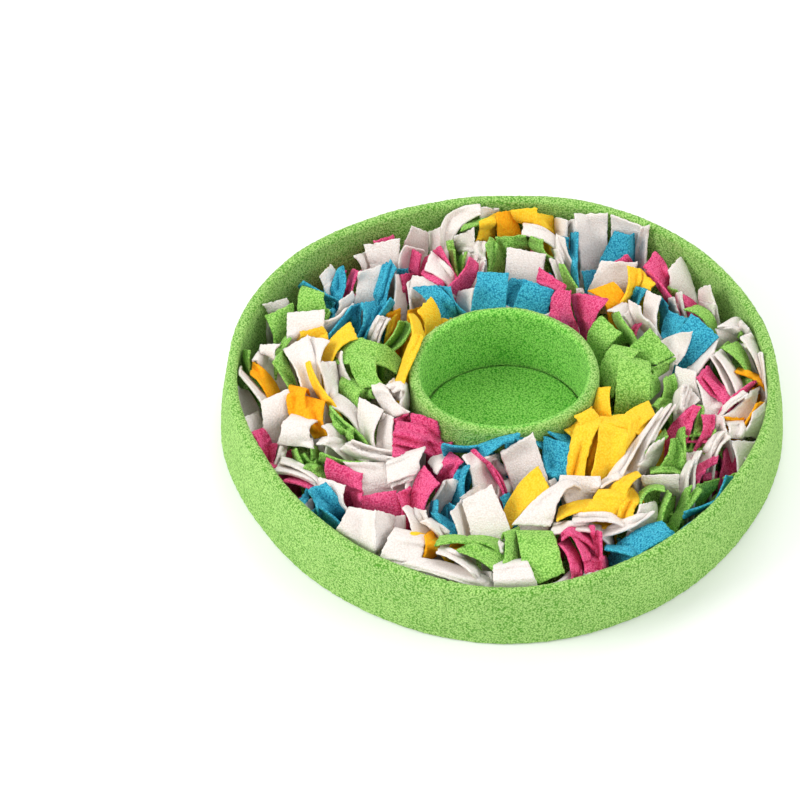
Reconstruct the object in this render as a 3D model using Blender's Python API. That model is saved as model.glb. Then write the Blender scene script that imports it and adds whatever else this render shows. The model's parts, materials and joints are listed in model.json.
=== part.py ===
"""Round snuffle mat.

A fleece base panel carries a low ring wall (foam strip in a fleece cover), a
smaller ring round a bowl in the middle, the bowl's floor panel, and four rows
of sewn bunches of fleece strips that fill the space between the two rings.

Metres, +Z up. The origin is on the floor, at the middle of the mat; +Y is the
far side and +X the right-hand side.
"""
import math
import random

import bmesh
import bpy
from mathutils import Matrix, Vector

MM = 0.001
GAP = 0.3 * MM              # clearance kept between neighbouring pieces

# ---------------------------------------------------------------- sizes
BASE_T = 4.0 * MM           # base panel, fleece on both sides of a thin foam
WALL_T = 9.5 * MM           # ring wall: foam strip with its cover
CUP_T = 9.5 * MM            # bowl ring, the same strip
FLOOR_T = 2.3 * MM          # the bowl's floor panel
EDGE_R = 2.0 * MM           # soft lower edge of a ring

WALL_SEGMENTS = 60
CUP_SEGMENTS = 40

CUP_CENTRE = Vector((0.9, 2.8, 0.0)) * MM

STRIP_T = 2.6 * MM          # one fleece strip as it stands, pile included
STRIP_W = 26.0 * MM         # width a strip is cut to
FOOT_H = 2.6 * MM           # sewn root that holds a bunch together
ROOT_PITCH = 3.6 * MM       # distance between strips at the root
STRIP_STEPS = 3             # straight stretches along a strip

# How uneven the two rings are, read every 30 degrees round the mat from +X
# towards +Y. Millimetres.
STATION_COLUMNS = ("angle", "wall_top_r", "wall_foot_r", "wall_h", "cup_r", "cup_h")
STATIONS = (
    (0,   222.0, 230.0, 61.0, 77.0, 64.0),
    (30,  226.0, 230.0, 62.0, 76.5, 63.5),
    (60,  226.0, 226.0, 65.0, 75.0, 64.5),
    (90,  225.0, 230.0, 61.0, 73.5, 66.0),
    (120, 224.0, 226.0, 62.5, 73.5, 66.5),
    (150, 229.0, 228.0, 65.5, 76.0, 65.5),
    (180, 225.0, 233.5, 63.0, 77.5, 64.0),
    (210, 217.5, 224.5, 65.5, 76.5, 63.5),
    (240, 225.0, 226.5, 64.0, 74.5, 65.0),
    (270, 231.0, 232.0, 58.0, 73.5, 66.5),
    (300, 227.0, 228.5, 64.0, 74.0, 66.5),
    (330, 221.0, 225.0, 67.5, 76.0, 65.5),
)

# The four strips of a bunch, from one side of its fan to the other. Tilts are
# degrees from upright, at the root and at the tip; lengths are millimetres.
FORM_COLUMNS = ("root_tilt", "tip_tilt", "length")
FORMS = {
    "open":    ((-24, -57, 35), (-12, -28, 47), (9, 30, 48), (26, 55, 35)),
    "left":    ((-30, -60, 32), (-18, -40, 45), (-6, -14, 51), (18, 38, 41)),
    "right":   ((-18, -38, 41), (6, 14, 51), (18, 40, 45), (30, 60, 32)),
    "curled":  ((-16, -94, 29), (-10, -54, 44), (8, 54, 44), (18, 96, 29)),
    "upright": ((-7, -17, 40), (-3, -9, 48), (3, 9, 50), (7, 18, 43)),
}

# Rows of bunches round the bowl. Each bunch: colour, form, and how far its fan
# is turned from the row's own direction, in degrees (90 fans outwards).
BUNCH_COLUMNS = ("colour", "form", "turn")
ROWS = (
    {"name": "first", "radius": 95.5 * MM, "bunches": (
        ("green", "open", 4), ("green", "curled", -6), ("blue", "open", 3),
        ("yellow", "upright", 86), ("green", "curled", 5),
        ("white", "right", -5), ("pink", "open", 6), ("blue", "left", -4),
        ("yellow", "open", 2))},
    {"name": "second", "radius": 128.0 * MM, "bunches": (
        ("white", "left", 3), ("green", "open", -4), ("pink", "upright", 94),
        ("blue", "open", 2), ("blue", "right", -5), ("green", "open", 4),
        ("white", "curled", -3), ("white", "left", 5), ("pink", "curled", 4),
        ("white", "open", -2), ("yellow", "right", 3),
        ("white", "upright", 88))},
    {"name": "third", "radius": 160.5 * MM, "bunches": (
        ("pink", "open", 4), ("blue", "left", -3), ("white", "curled", 5),
        ("blue", "upright", 82), ("pink", "right", -4), ("white", "open", 3),
        ("blue", "left", -5), ("white", "open", 4), ("yellow", "upright", 92),
        ("pink", "open", -2), ("white", "curled", 3), ("white", "left", 4),
        ("white", "right", -5), ("green", "open", 2), ("white", "open", -4))},
    {"name": "outer", "radius": 193.0 * MM, "bunches": (
        ("yellow", "left", 3), ("white", "curled", -4), ("white", "open", 2),
        ("pink", "upright", 86), ("white", "left", -3), ("yellow", "open", 4),
        ("white", "right", -2), ("pink", "open", 3), ("green", "left", -4),
        ("white", "upright", 90), ("white", "curled", 4), ("pink", "right", -3),
        ("blue", "open", 2), ("white", "left", 4), ("green", "curled", -2),
        ("pink", "open", 3), ("blue", "right", -4), ("green", "open", 4),
        ("white", "upright", 94))},
)

# Finish of each cloth: colour (linear), roughness.
CLOTH = {
    "green":  ((0.26, 0.58, 0.10), 0.95),
    "blue":   ((0.02, 0.30, 0.50), 0.95),
    "pink":   ((0.74, 0.04, 0.20), 0.95),
    "yellow": ((0.95, 0.50, 0.03), 0.95),
    "white":  ((0.85, 0.80, 0.78), 0.95),
}


# ---------------------------------------------------------------- scene
def clear_scene():
    for obj in list(bpy.data.objects):
        bpy.data.objects.remove(obj, do_unlink=True)


def new_collection(name):
    coll = bpy.data.collections.new(name)
    bpy.context.scene.collection.children.link(coll)
    return coll


def cloth_material(colour):
    name = "fleece_" + colour
    mat = bpy.data.materials.get(name)
    if mat:
        return mat
    rgb, rough = CLOTH[colour]
    mat = bpy.data.materials.new(name)
    mat.use_nodes = True
    bsdf = mat.node_tree.nodes["Principled BSDF"]
    bsdf.inputs["Base Color"].default_value = (*rgb, 1.0)
    bsdf.inputs["Roughness"].default_value = rough
    bsdf.inputs["Metallic"].default_value = 0.0
    mat.diffuse_color = (*rgb, 1.0)
    return mat


def mesh_object(name, bm, colour, coll, location=(0, 0, 0)):
    bmesh.ops.recalc_face_normals(bm, faces=bm.faces[:])
    mesh = bpy.data.meshes.new(name)
    bm.to_mesh(mesh)
    bm.free()
    mesh.shade_smooth()
    mesh.set_sharp_from_angle(angle=math.radians(45))
    mesh.materials.append(cloth_material(colour))
    obj = bpy.data.objects.new(name, mesh)
    obj.location = location
    coll.objects.link(obj)
    return obj


# ---------------------------------------------------------------- rings
def station(column, theta):
    """A column of STATIONS at any angle, on a smooth closed curve, in metres."""
    col = STATION_COLUMNS.index(column)
    n = len(STATIONS)
    u = (theta % math.tau) / math.tau * n
    i = int(u)
    t = u - i
    a, b, c, d = (STATIONS[(i + k) % n][col] for k in (-1, 0, 1, 2))
    return MM * 0.5 * (2 * b + (c - a) * t + (2 * a - 5 * b + 4 * c - d) * t * t
                       + (3 * b - a - 3 * c + d) * t * t * t)


def ring_section(radius, height, thickness, foot_z):
    """Section of a ring: flat foot, soft lower edge, round top, (r, z)."""
    half = thickness / 2
    pts = [(radius - thickness, foot_z), (radius - EDGE_R, foot_z),
           (radius - 0.3 * EDGE_R, foot_z + 0.4 * EDGE_R),
           (radius, foot_z + 1.5 * EDGE_R),
           (radius, 0.5 * height)]
    for k in range(7):
        a = math.pi * k / 6
        pts.append((radius - half + half * math.cos(a),
                    height - half + half * math.sin(a)))
    return pts


def spun_ring(section, segments):
    bm = bmesh.new()
    verts = [bm.verts.new((r, 0.0, z)) for r, z in section]
    edges = [bm.edges.new((verts[i], verts[(i + 1) % len(verts)]))
             for i in range(len(verts))]
    bmesh.ops.spin(bm, geom=verts + edges, cent=(0, 0, 0), axis=(0, 0, 1),
                   angle=math.tau, steps=segments, use_merge=True,
                   use_duplicate=False)
    bmesh.ops.remove_doubles(bm, verts=bm.verts[:], dist=1e-6)
    return bm


def wall_outer_r(theta, z):
    """Outer radius of the ring wall: from its foot to its top edge."""
    h = station("wall_h", theta)
    t = min(max(z / h, 0.0), 1.0)
    foot, top = station("wall_foot_r", theta), station("wall_top_r", theta)
    return foot + (top - foot) * t ** 1.3


def warp_ring(bm, radius, height, thickness, r_at, h_at):
    """Carry a true ring to the uneven one, keeping its section's thickness."""
    shoulder = height - thickness / 2
    for v in bm.verts:
        theta = math.atan2(v.co.y, v.co.x)
        inset = radius - math.hypot(v.co.x, v.co.y)
        h = h_at(theta)
        if v.co.z <= shoulder:
            z = v.co.z * (h - thickness / 2) / shoulder
        else:
            z = v.co.z + h - height
        if v.co.z < 2.5 * EDGE_R + BASE_T:
            z = v.co.z
        r = r_at(theta, z) - inset
        v.co = Vector((r * math.cos(theta), r * math.sin(theta), z))


def make_wall(coll):
    radius, height = 226 * MM, 63 * MM
    bm = spun_ring(ring_section(radius, height, WALL_T, 0.0), WALL_SEGMENTS)
    warp_ring(bm, radius, height, WALL_T, wall_outer_r,
              lambda a: station("wall_h", a))
    return mesh_object("outer_wall", bm, "green", coll)


def cup_outer_r(theta, z):
    return station("cup_r", theta)


def make_cup(coll):
    radius, height = 75.5 * MM, 65 * MM
    foot = BASE_T + GAP
    bm = spun_ring(ring_section(radius, height, CUP_T, foot), CUP_SEGMENTS)
    warp_ring(bm, radius, height, CUP_T, cup_outer_r,
              lambda a: station("cup_h", a))
    return mesh_object("cup_wall", bm, "green", coll, CUP_CENTRE)


def disc(segments, z0, z1, r_at):
    """A flat round panel whose rim follows r_at(angle)."""
    bm = bmesh.new()
    bmesh.ops.create_cone(bm, cap_ends=True, segments=segments, radius1=1.0,
                          radius2=1.0, depth=1.0)
    for v in bm.verts:
        theta = math.atan2(v.co.y, v.co.x)
        r = r_at(theta)
        v.co = Vector((r * math.cos(theta), r * math.sin(theta),
                       z0 if v.co.z < 0 else z1))
    return bm


def make_base(coll):
    def rim(theta):
        return wall_outer_r(theta, BASE_T) - WALL_T - 2 * GAP
    return mesh_object("base_panel", disc(WALL_SEGMENTS, 0.0, BASE_T, rim),
                       "green", coll)


def make_cup_floor(coll):
    z0 = BASE_T + GAP

    def rim(theta):
        return cup_outer_r(theta, z0) - CUP_T - GAP
    return mesh_object("cup_floor", disc(CUP_SEGMENTS, z0, z0 + FLOOR_T, rim),
                       "green", coll, CUP_CENTRE)


# ---------------------------------------------------------------- bunches
def strip_sides(root_x, root_tilt, tip_tilt, length):
    """The two long sides of one strip's edge view, root to tip."""
    half = STRIP_T / 2
    x, y = root_x, FOOT_H
    step = length / STRIP_STEPS
    right, left = [], []
    for k in range(STRIP_STEPS + 1):
        t = k / STRIP_STEPS
        tilt = math.radians(root_tilt + (tip_tilt - root_tilt) * t)
        across = (math.cos(tilt), -math.sin(tilt))
        if k == 0:
            across = (1.0, 0.0)
        right.append((x + half * across[0], y + half * across[1]))
        left.append((x - half * across[0], y - half * across[1]))
        mid = math.radians(root_tilt + (tip_tilt - root_tilt)
                           * (t + 0.5 / STRIP_STEPS))
        x += step * math.sin(mid)
        y += step * math.cos(mid)
    return right, left


def bunch_outline(form, stretch):
    """Edge view of a bunch: a sewn foot and strips that fan out of it."""
    rows = FORMS[form]
    n = len(rows)
    foot = ROOT_PITCH * (n - 1) / 2 + STRIP_T / 2 + 0.8 * MM
    pts = [(-foot, 0.0), (foot, 0.0)]
    for i in reversed(range(n)):
        root_tilt, tip_tilt, length = rows[i]
        root_x = ROOT_PITCH * (i - (n - 1) / 2)
        right, left = strip_sides(root_x, root_tilt, tip_tilt,
                                  length * MM * stretch[i])
        pts += right + left[::-1]
    return pts


def make_bunch(name, colour, form, centre, fan_angle, stretch, coll):
    pts = bunch_outline(form, stretch)
    curve = bpy.data.curves.new(name, "CURVE")
    curve.dimensions = "2D"
    curve.fill_mode = "BOTH"
    curve.extrude = STRIP_W / 2
    spline = curve.splines.new("POLY")
    spline.points.add(len(pts) - 1)
    for point, (x, y) in zip(spline.points, pts):
        point.co = (x, y, 0.0, 1.0)
    spline.use_cyclic_u = True
    curve.materials.append(cloth_material(colour))
    obj = bpy.data.objects.new(name, curve)
    fan = Vector((math.cos(fan_angle), math.sin(fan_angle), 0.0))
    up = Vector((0.0, 0.0, 1.0))
    turn = Matrix((fan, up, fan.cross(up))).transposed().to_4x4()
    obj.matrix_world = Matrix.Translation(centre) @ turn
    coll.objects.link(obj)
    return obj


def make_bunches(coll):
    rng = random.Random(11)
    for row in ROWS:
        n = len(row["bunches"])
        for i, (colour, form, turn) in enumerate(row["bunches"]):
            theta = math.tau * i / n
            centre = Vector((row["radius"] * math.cos(theta),
                             row["radius"] * math.sin(theta),
                             BASE_T + GAP)) + CUP_CENTRE * 0.5
            fan = theta + math.pi / 2 + math.radians(turn)
            stretch = [rng.uniform(0.92, 1.06) for _ in range(4)]
            make_bunch("bunch_%s_%02d" % (row["name"], i + 1), colour, form,
                       centre, fan, stretch, coll)


def main():
    clear_scene()
    coll = new_collection("snuffle_mat")
    make_base(coll)
    make_wall(coll)
    make_cup(coll)
    make_cup_floor(coll)
    make_bunches(coll)


main()
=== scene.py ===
"""Snuffle mat: finish of every surface.

A round mat with a fleece-covered ring wall, a fleece bowl ring in the middle
and several hundred loose fleece strips between the two.
"""

import json
import math
import random

import bpy
import numpy as np
from mathutils import Matrix, Vector, noise


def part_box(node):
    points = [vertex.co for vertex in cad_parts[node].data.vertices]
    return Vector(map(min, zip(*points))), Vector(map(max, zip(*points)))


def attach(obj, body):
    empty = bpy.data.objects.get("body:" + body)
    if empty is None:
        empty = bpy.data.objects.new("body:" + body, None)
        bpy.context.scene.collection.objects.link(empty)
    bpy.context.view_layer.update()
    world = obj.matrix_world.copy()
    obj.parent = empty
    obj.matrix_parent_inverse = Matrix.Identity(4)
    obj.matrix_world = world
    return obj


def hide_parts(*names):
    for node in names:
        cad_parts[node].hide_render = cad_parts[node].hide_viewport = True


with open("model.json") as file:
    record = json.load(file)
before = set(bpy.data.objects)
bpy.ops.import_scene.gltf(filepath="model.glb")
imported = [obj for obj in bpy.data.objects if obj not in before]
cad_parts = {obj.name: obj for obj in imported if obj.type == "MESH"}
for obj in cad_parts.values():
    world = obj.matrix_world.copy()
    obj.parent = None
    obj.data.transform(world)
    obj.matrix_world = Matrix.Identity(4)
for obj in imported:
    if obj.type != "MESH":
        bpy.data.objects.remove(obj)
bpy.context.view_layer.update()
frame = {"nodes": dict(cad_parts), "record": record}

MM = 0.001

# ---------------------------------------------------------------- camera
# The photo's view: about 2 m away, 45 degrees above the floor, 111 mm lens.
PHOTO = 800
FOCAL_PX = 2469.14
CAM_POS = np.array([0.0, -1.425841, 1.467442])
CAM_R = np.array([0.9990795, 0.0366770, -0.0222475])
CAM_U = np.array([-0.0103657, 0.7096710, 0.7044570])
CAM_B = np.array([0.0416257, -0.7035779, 0.7093979])


def make_camera():
    cam = bpy.data.cameras.new("view")
    cam.sensor_fit = "HORIZONTAL"
    cam.sensor_width = 36.0
    cam.lens = FOCAL_PX / PHOTO * 36.0
    cam.clip_end = 20.0
    obj = bpy.data.objects.new("view", cam)
    m = Matrix.Identity(4)
    for i in range(3):
        m[i][0], m[i][1], m[i][2] = CAM_R[i], CAM_U[i], CAM_B[i]
        m[i][3] = CAM_POS[i]
    obj.matrix_world = m
    bpy.context.scene.collection.objects.link(obj)
    bpy.context.scene.camera = obj


def ray(px, py):
    """Direction of sight through a point of the photo's frame."""
    px, py = np.asarray(px, float), np.asarray(py, float)
    d = ((px - 400.0)[..., None] * CAM_R + (400.0 - py)[..., None] * CAM_U) / FOCAL_PX - CAM_B
    return d


def at_height(px, py, z):
    """The point seen at (px, py) that lies z metres above the floor."""
    d = ray(px, py)
    s = (np.asarray(z, float) - CAM_POS[2]) / d[..., 2]
    return CAM_POS + d * s[..., None]


def seen_at(p):
    """Frame position and distance from the camera's plane of points."""
    q = np.asarray(p) - CAM_POS
    depth = -(q @ CAM_B)
    return (400.0 + FOCAL_PX * (q @ CAM_R) / depth,
            400.0 - FOCAL_PX * (q @ CAM_U) / depth, depth)


# ---------------------------------------------------------------- sizes
BASE_T = 4.0 * MM
WALL_T = 9.5 * MM
CUP_T = 9.5 * MM
GAP = 0.3 * MM
FLOOR_T = 2.3 * MM
CUP_CENTRE = np.array([0.9, 2.8, 0.0]) * MM

STATION_COLUMNS = ("angle", "wall_top_r", "wall_foot_r", "wall_h", "cup_r", "cup_h")
STATIONS = np.array((
    (0,   222.0, 230.0, 61.0, 77.0, 64.0),
    (30,  226.0, 230.0, 62.0, 76.5, 63.5),
    (60,  226.0, 226.0, 65.0, 75.0, 64.5),
    (90,  225.0, 230.0, 61.0, 73.5, 66.0),
    (120, 224.0, 226.0, 62.5, 73.5, 66.5),
    (150, 229.0, 228.0, 65.5, 76.0, 65.5),
    (180, 225.0, 233.5, 63.0, 77.5, 64.0),
    (210, 217.5, 224.5, 65.5, 76.5, 63.5),
    (240, 225.0, 226.5, 64.0, 74.5, 65.0),
    (270, 231.0, 232.0, 58.0, 73.5, 66.5),
    (300, 227.0, 228.5, 64.0, 74.0, 66.5),
    (330, 221.0, 225.0, 67.5, 76.0, 65.5),
))


def station(column, theta):
    """A column of STATIONS at any angles, on a smooth closed curve, metres."""
    col = STATIONS[:, STATION_COLUMNS.index(column)]
    n = len(col)
    u = np.mod(theta, math.tau) / math.tau * n
    i = np.floor(u).astype(int)
    t = u - i
    a, b, c, d = (col[(i + k) % n] for k in (-1, 0, 1, 2))
    return MM * 0.5 * (2 * b + (c - a) * t + (2 * a - 5 * b + 4 * c - d) * t * t
                       + (3 * b - a - 3 * c + d) * t * t * t)


def wall_outer_r(theta, z):
    h = station("wall_h", theta)
    t = np.clip(z / h, 0.0, 1.0)
    foot, top = station("wall_foot_r", theta), station("wall_top_r", theta)
    return foot + (top - foot) * t ** 1.3


def cup_outer_r(theta, z):
    return station("cup_r", theta)


# ---------------------------------------------------------------- materials
def srgb(r, g, b):
    def lin(c):
        c /= 255.0
        return c / 12.92 if c <= 0.04045 else ((c + 0.055) / 1.055) ** 2.4
    return (lin(r), lin(g), lin(b), 1.0)


FLEECE = {
    # name: light pile, deep pile, sheen tint
    "green": (srgb(193, 238, 137), srgb(89, 157, 47), srgb(228, 252, 182)),
    # inside: the bowl's hollow painted a deeper, more saturated green, painted shade and green
    # bounce light
    "inside": (srgb(179, 252, 120), srgb(66, 167, 38), srgb(190, 246, 140)),
    "leaf": (srgb(184, 235, 124), srgb(86, 152, 46), srgb(215, 246, 160)),
    "blue": (srgb(88, 208, 230), srgb(14, 112, 150), srgb(130, 212, 234)),
    "pink": (srgb(255, 118, 164), srgb(200, 36, 94), srgb(255, 150, 190)),
    "yellow": (srgb(255, 221, 72), srgb(255, 186, 26), srgb(255, 226, 120)),
    # the yellow fleece again, painted deeper orange: painted shade for yellow strips lying in folds
    # and shadow
    "amber": (srgb(255, 192, 40), srgb(251, 152, 12), srgb(255, 200, 90)),
    "white": (srgb(246, 239, 234), srgb(227, 216, 208), srgb(255, 250, 246)),
}

# light that goes a little way into the pile: reach in red, green, blue, and share
DEPTH = {
    "green": ((0.5, 1.0, 0.25), 0.0), "inside": ((0.5, 1.0, 0.25), 0.0),
    "leaf": ((0.5, 1.0, 0.2), 0.12), "blue": ((0.15, 0.8, 1.0), 0.12),
    "pink": ((1.0, 0.2, 0.4), 0.15), "yellow": ((1.0, 0.55, 0.06), 0.22),
    "amber": ((1.0, 0.45, 0.04), 0.22), "white": ((1.0, 0.84, 0.76), 0.32),
}


def fleece_material(name, key, grain=420.0, bump=0.5, coarse=0.6, sheen=0.35, contrast=1.0,
                    inner=None):
    """Pilled polar fleece: clumped pile, seen as small lit tufts and dark pits.

    inner is (key, centre, r0, r1): a deeper, more saturated green with painted shade
    of a hollow, that takes over within the radius r0 and is gone past r1.
    """
    light, deep, tint = FLEECE[key]
    mat = bpy.data.materials.new(name)
    mat.use_nodes = True
    nt = mat.node_tree
    nodes, links = nt.nodes, nt.links
    bsdf = nodes["Principled BSDF"]
    coord = nodes.new("ShaderNodeTexCoord")

    def node(kind, **inputs):
        n = nodes.new(kind)
        for k, v in inputs.items():
            n.inputs[k.replace("_", " ")].default_value = v
        return n

    def math_node(operation, a, b=None, c=None):
        n = nodes.new("ShaderNodeMath")
        n.operation = operation
        for i, v in enumerate((a, b, c)):
            if v is None:
                continue
            if isinstance(v, (int, float)):
                n.inputs[i].default_value = v
            else:
                links.new(v, n.inputs[i])
        return n.outputs["Value"]

    # curled pile: a distorted noise over small round tufts
    pile = node("ShaderNodeTexNoise", Scale=grain * 1.5, Detail=2.0, Roughness=0.55,
                Distortion=0.6)
    links.new(coord.outputs["Object"], pile.inputs["Vector"])
    tuft = nodes.new("ShaderNodeTexVoronoi")
    tuft.feature = "F1"
    tuft.inputs["Scale"].default_value = grain
    links.new(coord.outputs["Object"], tuft.inputs["Vector"])
    broad = node("ShaderNodeTexNoise", Scale=38.0, Detail=3.0, Roughness=0.6)
    links.new(coord.outputs["Object"], broad.inputs["Vector"])

    round_ = node("ShaderNodeMapRange", From_Min=0.20, From_Max=0.80, To_Min=1.0, To_Max=0.0)
    links.new(tuft.outputs["Distance"], round_.inputs["Value"])
    pile_fac = node("ShaderNodeMapRange", From_Min=0.32, From_Max=0.68)
    links.new(pile.outputs["Fac"], pile_fac.inputs["Value"])
    height = math_node("MULTIPLY_ADD", round_.outputs["Result"], 0.7,
                       math_node("MULTIPLY", pile_fac.outputs["Result"], 0.3))
    patch = math_node("MULTIPLY", math_node("SUBTRACT", broad.outputs["Fac"], 0.5), 0.32)
    # contrast of the grain round its own middle, plus the broad unevenness
    grainy = math_node("MULTIPLY_ADD", math_node("SUBTRACT", height, 0.5), contrast, 0.52)
    fac = node("ShaderNodeMapRange", From_Min=0.0, From_Max=1.0)
    links.new(math_node("ADD", grainy, patch), fac.inputs["Value"])

    colour = nodes.new("ShaderNodeMix")
    colour.data_type = "RGBA"
    colour.inputs["A"].default_value = deep
    colour.inputs["B"].default_value = light
    links.new(fac.outputs["Result"], colour.inputs["Factor"])
    shown = colour.outputs["Result"]
    # painted shade of a hollow: the second green takes over within r0
    if inner:
        key2, centre, r0, r1 = inner
        second = nodes.new("ShaderNodeMix")
        second.data_type = "RGBA"
        second.inputs["A"].default_value = FLEECE[key2][1]
        second.inputs["B"].default_value = FLEECE[key2][0]
        links.new(fac.outputs["Result"], second.inputs["Factor"])
        off = nodes.new("ShaderNodeVectorMath")
        off.operation = "SUBTRACT"
        off.inputs[1].default_value = (centre[0], centre[1], 0.0)
        links.new(coord.outputs["Object"], off.inputs[0])
        flat = nodes.new("ShaderNodeVectorMath")
        flat.operation = "MULTIPLY"
        flat.inputs[1].default_value = (1.0, 1.0, 0.0)
        links.new(off.outputs["Vector"], flat.inputs[0])
        length = nodes.new("ShaderNodeVectorMath")
        length.operation = "LENGTH"
        links.new(flat.outputs["Vector"], length.inputs[0])
        part = node("ShaderNodeMapRange", From_Min=r0, From_Max=r1)
        part.interpolation_type = "SMOOTHSTEP"
        links.new(length.outputs["Value"], part.inputs["Value"])
        both = nodes.new("ShaderNodeMix")
        both.data_type = "RGBA"
        links.new(part.outputs["Result"], both.inputs["Factor"])
        links.new(second.outputs["Result"], both.inputs["A"])
        links.new(shown, both.inputs["B"])
        shown = both.outputs["Result"]
    links.new(shown, bsdf.inputs["Base Color"])

    b1 = node("ShaderNodeBump", Strength=bump, Distance=coarse * MM)
    links.new(height, b1.inputs["Height"])
    links.new(b1.outputs["Normal"], bsdf.inputs["Normal"])

    bsdf.inputs["Roughness"].default_value = 0.95
    bsdf.inputs["Specular IOR Level"].default_value = 0.12
    bsdf.inputs["Sheen Weight"].default_value = sheen
    bsdf.inputs["Sheen Roughness"].default_value = 0.45
    bsdf.inputs["Sheen Tint"].default_value = tint
    reach, share = DEPTH[key]
    if share:
        bsdf.inputs["Subsurface Weight"].default_value = share
        bsdf.inputs["Subsurface Radius"].default_value = reach
        bsdf.inputs["Subsurface Scale"].default_value = 3.0 * MM
    return mat


# ---------------------------------------------------------------- meshes
def mesh_piece(name, verts, faces, mat, body="root", sharp=None):
    me = bpy.data.meshes.new(name)
    me.from_pydata([tuple(v) for v in verts], [], [tuple(f) for f in faces])
    me.validate()
    me.shade_smooth()
    if sharp:
        me.set_sharp_from_angle(angle=math.radians(sharp))
    me.materials.append(mat)
    obj = bpy.data.objects.new(name, me)
    bpy.context.scene.collection.objects.link(obj)
    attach(obj, body)
    return obj


def pile_relief(points, normals, amount, size):
    """Push points in and out along their normals, as clumped pile stands."""
    out = np.array(points)
    for i in range(len(out)):
        p = Vector(points[i]) / size
        d = noise.noise(p) * 0.6 + noise.noise(p * 2.3) * 0.4
        out[i] += normals[i] * d * amount
    return out


def grid_normals(p, wrap_i, wrap_j):
    """Normals of a grid of points (n, m, 3)."""
    if wrap_i:
        di = np.roll(p, -1, 0) - np.roll(p, 1, 0)
    else:
        di = np.gradient(p, axis=0)
    if wrap_j:
        dj = np.roll(p, -1, 1) - np.roll(p, 1, 1)
    else:
        dj = np.gradient(p, axis=1)
    n = np.cross(di, dj)
    return n / np.maximum(np.linalg.norm(n, axis=-1, keepdims=True), 1e-12)


def ring_grid(segments, r_at, h_at, thickness, foot_z, steps, centre, seams=()):
    """A ring's whole surface as a closed grid, round the ring and its section."""
    theta = np.arange(segments) / segments * math.tau
    half = thickness / 2
    h = h_at(theta)
    # section: up the outer face, over the round top, down the inner face
    n_face, n_top, n_foot = steps
    rows = []
    for k in range(n_face):                       # outer face
        t = k / n_face
        z = foot_z + 2.0 * MM + (h - half - foot_z - 2.0 * MM) * t
        swell = 0.5 * MM * math.sin(math.pi * t)
        rows.append((r_at(theta, z) + swell, z))
    for k in range(n_top):                        # round top edge
        a = math.pi * k / n_top
        z = h - half + half * math.sin(a)
        rows.append((r_at(theta, h - half) - half + half * math.cos(a), z))
    for k in range(n_face):                       # inner face
        t = k / n_face
        z = h - half + (foot_z - h + half) * t
        rows.append((r_at(theta, z) - thickness - 0.3 * MM * math.sin(math.pi * t), z))
    for k in range(n_foot):                       # flat foot and its soft edge
        t = k / n_foot
        z = np.full_like(theta, foot_z)
        rows.append((r_at(theta, z) - thickness + (thickness - 2.0 * MM) * t, z))
    for k in range(4):
        a = math.pi / 2 * (k + 0.5) / 4
        z = np.full_like(theta, foot_z + 2.0 * MM - 2.0 * MM * math.cos(a))
        rows.append((r_at(theta, z) - 2.0 * MM + 2.0 * MM * math.sin(a), z))
    grid = np.empty((segments, len(rows), 3))
    for j, (r, z) in enumerate(rows):
        grid[:, j, 0] = r * np.cos(theta) + centre[0]
        grid[:, j, 1] = r * np.sin(theta) + centre[1]
        grid[:, j, 2] = z
    return theta, grid


def grid_faces(n, m):
    i, j = np.meshgrid(np.arange(n), np.arange(m), indexing="ij")
    i2, j2 = (i + 1) % n, (j + 1) % m
    return np.stack([i * m + j, i2 * m + j, i2 * m + j2, i * m + j2], -1).reshape(-1, 4)


def make_wall(mat):
    segments = 660
    theta, g = ring_grid(segments, wall_outer_r, lambda a: station("wall_h", a),
                         WALL_T, 0.0, (30, 12, 4), np.zeros(3))
    nrm = grid_normals(g, True, True)
    # the cover is not drawn evenly over the foam: long soft dents and pulls
    for j in range(g.shape[1]):
        for i in range(segments):
            a = theta[i]
            z = g[i, j, 2]
            if z < 1.0 * MM:
                continue
            soft = noise.noise(Vector((math.cos(a) * 5.0, math.sin(a) * 5.0, z * 22.0)))
            g[i, j] += nrm[i, j] * soft * 0.9 * MM
    # the closing seam of the cover, on the near side
    seam = math.radians(259.5)
    across = (np.mod(theta - seam + math.pi, math.tau) - math.pi) * 0.228
    groove = np.exp(-(across / (0.9 * MM)) ** 2) * 1.1 * MM
    swell = np.exp(-((np.abs(across) - 3.2 * MM) / (2.4 * MM)) ** 2) * 0.45 * MM
    push = (swell - groove)[:, None] * (g[:, :, 2] > 2.0 * MM)
    g += nrm * push[..., None]
    flat = g.reshape(-1, 3)
    nf = nrm.reshape(-1, 3)
    low = flat[:, 2] < 0.5 * MM
    moved = pile_relief(flat, nf, 0.75 * MM, 2.3 * MM)
    moved[low] = flat[low]
    moved[:, 2] = np.maximum(moved[:, 2], 0.0)
    obj = mesh_piece("ring_wall", moved, grid_faces(segments, g.shape[1]), mat)
    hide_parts("outer_wall")
    return obj


def make_cup(mat):
    segments = 264
    theta, g = ring_grid(segments, cup_outer_r, lambda a: station("cup_h", a),
                         CUP_T, BASE_T + GAP, (32, 12, 4), CUP_CENTRE)
    nrm = grid_normals(g, True, True)
    for j in range(g.shape[1]):
        for i in range(segments):
            a = theta[i]
            z = g[i, j, 2]
            if z < BASE_T + 2 * MM:
                continue
            soft = noise.noise(Vector((math.cos(a) * 3.0 + 7.0, math.sin(a) * 3.0, z * 30.0)))
            g[i, j] += nrm[i, j] * soft * 0.6 * MM
    flat = g.reshape(-1, 3)
    nf = nrm.reshape(-1, 3)
    low = flat[:, 2] < BASE_T + 0.8 * MM
    moved = pile_relief(flat, nf, 0.75 * MM, 2.2 * MM)
    moved[low] = flat[low]
    obj = mesh_piece("bowl_ring", moved, grid_faces(segments, g.shape[1]), mat)
    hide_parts("cup_wall")
    return obj


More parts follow.
